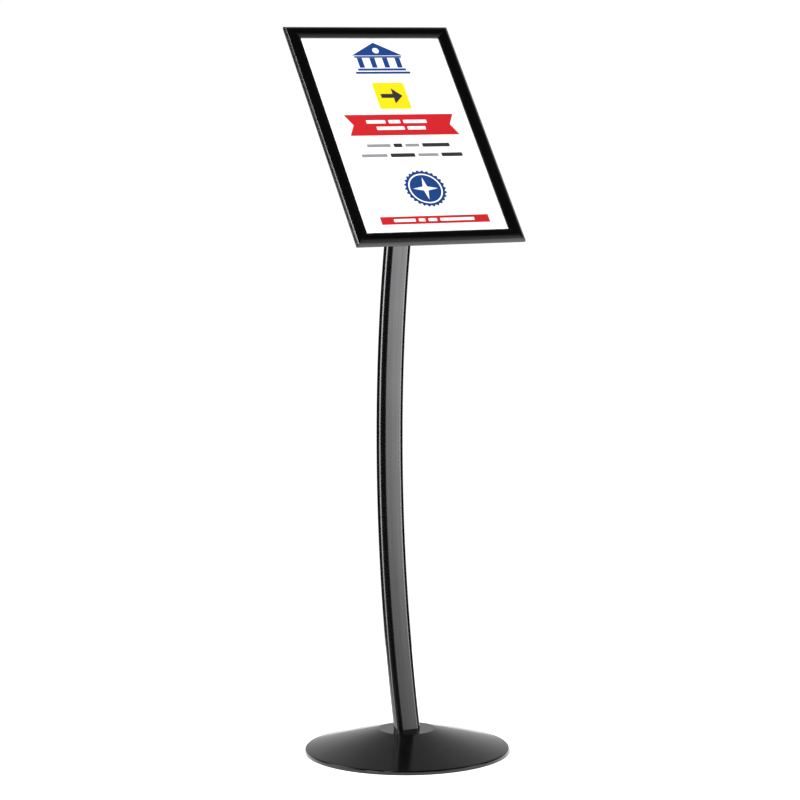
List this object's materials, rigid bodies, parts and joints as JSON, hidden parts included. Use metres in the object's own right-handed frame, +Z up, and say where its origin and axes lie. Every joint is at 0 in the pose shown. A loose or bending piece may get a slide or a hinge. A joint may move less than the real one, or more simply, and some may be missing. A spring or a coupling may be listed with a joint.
{
  "type": "poster sign stand",
  "caption": "Floor sign stand with a round weighted base, a bent oval pole and a tilted snap-open poster frame that turns upright or sideways.",
  "frame": {"origin": "on the floor, under the middle of the round base", "axes": "+Z up; the poster faces -Y and up; +X to the reader's right"},
  "size_m": [0.356, 0.356, 1.2541],
  "materials": {
    "base_paint": "semi-gloss black powder coat",
    "ballast_iron": "cast, sealed",
    "foot_rubber": "matte black rubber sheet",
    "zinc_steel": "zinc plated",
    "pole_anodised": "black, satin, drawn along its length",
    "insert_aluminium": "mill finish",
    "black_steel": "black oxide",
    "head_paint": "black casting, fine texture",
    "washer_nylon": "natural nylon",
    "crossbar_paint": "satin black paint",
    "rail_anodised": "black anodised",
    "flap_anodised": "black, smooth satin gloss",
    "spring_steel": "bright spring steel",
    "panel_styrene": "dark grey styrene sheet",
    "poster_paper": null,
    "cover_pvc": "clear non-glare sheet"
  },
  "bodies": {
    "stand": {"base_cover": "base_paint", "base_weight": "ballast_iron", "foot_mat": "foot_rubber", "base_washers": "zinc_steel", "base_bolts": "zinc_steel", "pole": "pole_anodised", "pole_anchor": "insert_aluminium", "pole_screws": "black_steel", "head_bracket": "head_paint", "friction_washer": "washer_nylon"},
    "frame": {"pivot_bolt": "zinc_steel", "pivot_washer": "zinc_steel", "pivot_nut": "zinc_steel", "crossbar": "crossbar_paint", "crossbar_screws": "black_steel", "rail_top": "rail_anodised", "rail_bottom": "rail_anodised", "rail_left": "rail_anodised", "rail_right": "rail_anodised", "corner_keys": "zinc_steel", "leaf_springs": "spring_steel", "back_panel": "panel_styrene", "poster": "poster_paper", "cover_sheet": "cover_pvc"},
    "top_flap": {"flap_top": "flap_anodised"},
    "bottom_flap": {"flap_bottom": "flap_anodised"},
    "left_flap": {"flap_left": "flap_anodised"},
    "right_flap": {"flap_right": "flap_anodised"}
  },
  "joints": [
    {"name": "frame_rotation", "type": "hinge", "parent": "stand", "child": "frame", "pos_m": [0, 0.01238, 1.06472], "axis": [0, -0.776, 0.6307], "range_deg": [0, 90]},
    {"name": "flap_top_hinge", "type": "hinge", "parent": "frame", "child": "top_flap", "pos_m": [0, 0.15038, 1.25166], "axis": [-1, 0, 0], "range_deg": [0, 100]},
    {"name": "flap_bottom_hinge", "type": "hinge", "parent": "frame", "child": "bottom_flap", "pos_m": [0, -0.14238, 0.89141], "axis": [1, 0, 0], "range_deg": [0, 100]},
    {"name": "flap_left_hinge", "type": "hinge", "parent": "frame", "child": "left_flap", "pos_m": [-0.1559, 0.004, 1.07153], "axis": [0, -0.6307, -0.776], "range_deg": [0, 100]},
    {"name": "flap_right_hinge", "type": "hinge", "parent": "frame", "child": "right_flap", "pos_m": [0.1559, 0.004, 1.07153], "axis": [0, 0.6307, 0.776], "range_deg": [0, 100]}
  ]
}
